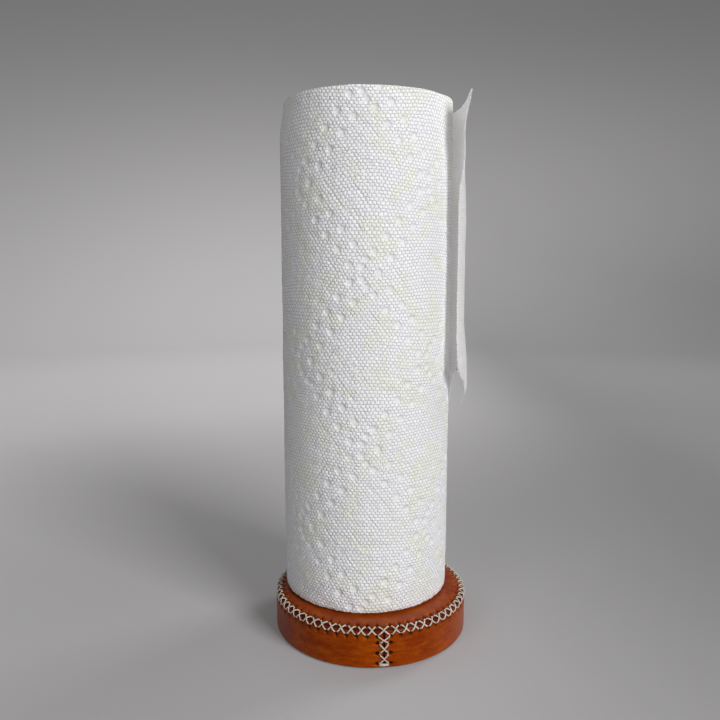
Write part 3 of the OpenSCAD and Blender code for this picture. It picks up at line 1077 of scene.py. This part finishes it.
def cardboard_core():
    """The core, wound from strips, so that a shallow helical joint runs up it."""
    lip = 0.25 * MM
    strip_rise, groove = 95 * MM, 0.14 * MM
    height = roll_top - roll_foot
    walls = np.linspace(lip, height - lip, 150)
    outer = [(core_outer_r - lip, 0), *[(core_outer_r, up) for up in walls]]
    inner = [(core_outer_r - lip, height), (core_bore_r + lip, height)]
    inner += [(core_bore_r, up) for up in walls[::-1]] + [(core_bore_r + lip, 0)]
    section = np.array(outer + inner + outer[:1])
    columns = 96

    def bend(column, row, number):
        direction = column / columns * TAU
        out, up = section[row].T
        turn = up / strip_rise + direction / TAU
        joint = np.abs(turn - np.round(turn)) * strip_rise
        dip = (1 - fade(joint, 0.2 * MM, 1.1 * MM)) * groove
        dip = np.where(out < core_bore_r + 0.01 * MM, dip, 0)
        return round_roll(direction, out + dip, roll_foot + up), (direction * out, up), {}

    form = flat_grid(columns, len(section) - 1)
    return shaped(form, bend)


add_part("cardboard_core", cardboard_core(), core_board, "core", "core_board", "core_tube")


# Loose sheet ------

sheet_columns, sheet_rows = 116, 220
sheet_tuck = 3 * MM
sheet_thick = 0.42 * MM
sheet_foot = 104 * MM
run_steps = 160  # parts in which the curve of the sheet is summed
tuck_slope = 0.12
tooth_pitch, tooth_depth, fray_depth = 3.4 * MM, 0.7, 0.6
corner_band, corner_more = (258 * MM, 300 * MM), 6.4 * MM
tail_band, tail_more = (154 * MM, 184 * MM), 4.8 * MM
open_angle, top_less, tail_open = math.radians(8.8), math.radians(2.8), math.radians(2.5)
flare_start, flare_band, tip_band = 70 * MM, (246 * MM, 272 * MM), (284 * MM, 303 * MM)
root_place = Vector((
    roll_middle.x + roll_r * math.cos(sheet_root), roll_middle.y + roll_r * math.sin(sheet_root), 0
))


def sheet_tear(run):
    """Height of the torn lower edge at a length along the sheet: a tail hangs near its middle."""
    stops = np.array([
        -10, 0, 12, 30, 44, 49, 51, 54, 58, 64, 76, 78, 79.5, 81.5, 83, 85, 87.5, 90, 92, 96, 99.5,
        103.5, 120,
    ]) * MM
    heights = np.array([
        104, 108, 112, 118, 124, 129, 141, 147, 152, 155, 154, 150, 143, 135, 134, 136, 139.5, 143.3,
        147, 150.5, 153, 158, 158,
    ]) * MM
    ragged = ripple(run, run * 0, 41, 3 * MM) * 0.6 * MM
    return np.interp(run, stops, heights) + ragged


def free_reach(up):
    """Length of the sheet at a height; it is torn off a little longer at its corners."""
    corner, tail = fade(up, *corner_band), 1 - fade(up, *tail_band)
    return sheet_reach + corner_more * corner + tail_more * tail


def sheet_heading(run, up):
    """Direction in which the sheet runs at a length from the roll, in the plan."""
    at_top, at_foot = fade(up, *flare_band), 1 - fade(up, *tail_band)
    opened = open_angle - top_less * at_top + tail_open * at_foot
    flare = 0.76 * at_top + 0.26 * fade(up, *tip_band)
    heading = opened - (run - np.maximum(run - flare_start, 0) * flare) / roll_r
    return sheet_root - math.pi / 2 + heading


def loose_sheet():
    """The loose end of the outermost towel, with its perforated edge and its torn foot."""

    def bend(column, row, number):
        up = sheet_foot + (roll_top - 0.1 * MM - sheet_foot) * row / sheet_rows
        run = -sheet_tuck + (free_reach(up) + sheet_tuck) * column / sheet_columns
        teeth = np.abs(fraction(up / tooth_pitch) - 0.5) * 2
        frayed = (teeth * tooth_depth + ripple(up, up * 0, 44, 1.8 * MM) * fray_depth) * MM
        run = run - np.where(column == sheet_columns, frayed, 0)
        up = np.maximum(up, sheet_tear(run))
        free_run = np.maximum(run, 0)
        shares = (np.arange(run_steps) + 0.5) / run_steps
        headings = sheet_heading(free_run[:, None] * shares, up[:, None])
        x = root_place.x + np.cos(headings).sum(axis=1) * free_run / run_steps
        y = root_place.y + np.sin(headings).sum(axis=1) * free_run / run_steps
        tucked = np.maximum(-run, 0)
        under = round_roll(sheet_root + tucked / roll_r, roll_r - tuck_slope * tucked, up)
        x, y = np.where(run < 0, under[:, 0], x), np.where(run < 0, under[:, 1], y)
        around = sheet_root * roll_r - run
        heading = sheet_heading(free_run, up)
        relief = -dents(around, up - roll_foot)[0] * dot_depth * fade(run, 0, 4 * MM)
        waves = ripple(run, up, 43, 26 * MM) * 0.35 * MM * fade(run, 20 * MM, 60 * MM)
        curl = (1 - fade(up, 133 * MM, 144 * MM)) * fade(run, 74 * MM, 79 * MM) * 2.6 * MM
        out = relief + waves - curl
        raised = up + fade(run, 78 * MM, 104 * MM) * fade(up, 280 * MM, roll_top) * 1.2 * MM
        places = np.stack([x - np.sin(heading) * out, y + np.cos(heading) * out, raised], axis=-1)
        return places, (around, up - roll_foot), {}

    form = flat_grid(sheet_columns, sheet_rows)
    form = shaped(form, bend, closed=False)
    bmesh.ops.dissolve_degenerate(form, edges=form.edges, dist=WELD)
    return form


sheet = add_piece("towel_loose_sheet", loose_sheet(), single_ply)
body_of_paper = sheet.modifiers.new("paper", "SOLIDIFY")
body_of_paper.thickness = sheet_thick
body_of_paper.offset = -1
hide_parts("loose_sheet")
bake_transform(sheet)
free_reach(roll_top) + sheet_tuck


# CAD nodes that stay ------

for node, finish in {
    "base_core": beech, "post_dowel": beech, "ballast_plate": zinc_steel,
    "plate_screws": zinc_steel, "post_screw": zinc_steel,
}.items():
    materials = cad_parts[node].data.materials
    materials.clear()
    materials.append(finish.material)


# Camera, floor and light ------

camera = bpy.data.objects.new("camera", bpy.data.cameras.new("camera"))
camera.data.lens = 34.35
camera.data.sensor_width = 36
camera.data.clip_start = 0.01
camera.location = (-0.0063, -0.398, 0.212)
camera.rotation_euler = (math.radians(82.4), 0, 0)
bpy.context.scene.collection.objects.link(camera)
bpy.context.scene.camera = camera

floor_r, sweep_r, wall_top = 1.5, 0.9, 2.2
floor_steps = 96
sweep = [
    (floor_r + sweep_r * math.sin(turn), sweep_r * (1 - math.cos(turn)))
    for turn in np.linspace(0, math.pi / 2, 25)
]
floor_section = [(0, 0), (0.3, 0), (0.8, 0), *sweep, (floor_r + sweep_r, wall_top)]
floor_form = turned(floor_section, floor_steps)
bmesh.ops.reverse_faces(floor_form, faces=floor_form.faces)
backdrop = Finish(
    "backdrop", {"Roughness": 0.9, "Specular IOR Level": 0.1, "Emission Strength": 1.0}
)
right, back, rise = backdrop.numbers(backdrop.place)
far = backdrop.out(right, back)
# The backdrop's colour is painted light and shade: lighter further off, darker high up, to the right
# near the object and to both sides far off.
paper_near, paper_far = (0.43, 0.42, 0.43), (0.59, 0.578, 0.587)
paper_high, paper_shaded = (0.24, 0.235, 0.24), (0.05, 0.05, 0.05)
backdrop_tone = backdrop.mix(fade(far, 0.15, 1.3), paper_near, paper_far)
backdrop_tone = backdrop.mix(fade(rise, 0, 1.3), backdrop_tone, paper_high)
close = (1 - fade(far, 0.6, 3.5)) * (1 - fade(rise, 0, 0.9))
far_aside = fade(absolute(right + 0.1), 0.1, 2.4) * (0.6 - fade(rise, 0, 1.3) * 0.16)
aside = fade(right, -0.06, 0.36) * 0.6 * close + far_aside
backdrop_tone = backdrop.mix(aside, backdrop_tone, paper_shaded)
backdrop.colour(backdrop_tone)
rays = backdrop.node("ShaderNodeLightPath").socket.node.outputs
to_camera, by_gloss, through = [
    Wire(backdrop, rays[kind]) for kind in ("Is Camera Ray", "Is Glossy Ray", "Is Transmission Ray")
]
# The glow is painted light: the backdrop glows for the camera, for reflections and for transmitted
# rays, more so further off.
glow = (to_camera + by_gloss + through) * (0.12 + 0.4 * fade(far, 0.1, 0.7))
backdrop.set(backdrop.shader, "Emission Color", backdrop.mix(glow, (0, 0, 0), backdrop_tone))
floor = add_piece("floor", floor_form, backdrop)

light_middle = Vector((0, 0, 0.15))


def lamp(name, facing, elevation, distance, size, share):
    """A square soft box that lights a white card facing it to this share of full white.

    Its facing and elevation are in degrees, its distance and size in metres.
    """
    light = bpy.data.lights.new(name, "AREA")
    light.shape = "SQUARE"
    light.size = size
    light.energy = share * math.pi**2 * distance**2
    turn, rise = math.radians(facing), math.radians(elevation)
    box = bpy.data.objects.new(name, light)
    back = Vector((
        math.sin(turn) * math.cos(rise), -math.cos(turn) * math.cos(rise), math.sin(rise)
    ))
    box.location = light_middle + back * distance
    box.rotation_euler = back.to_track_quat("Z", "Y").to_euler()
    bpy.context.scene.collection.objects.link(box)


lamp("key_light", 42, 25, 1.5, 0.63, 0.87)
lamp("front_light", -34, 20, 1.45, 0.6, 0.19)
lamp("back_light", 130, 32, 1.6, 0.5, 0.28)

world = bpy.data.worlds.new("studio")
world.use_nodes = True
sky = world.node_tree.nodes["Background"].inputs
sky["Color"].default_value = (1, 1, 0.95, 1)
sky["Strength"].default_value = 0.19
bpy.context.scene.world = world
bpy.context.scene.view_settings.view_transform = "Standard"
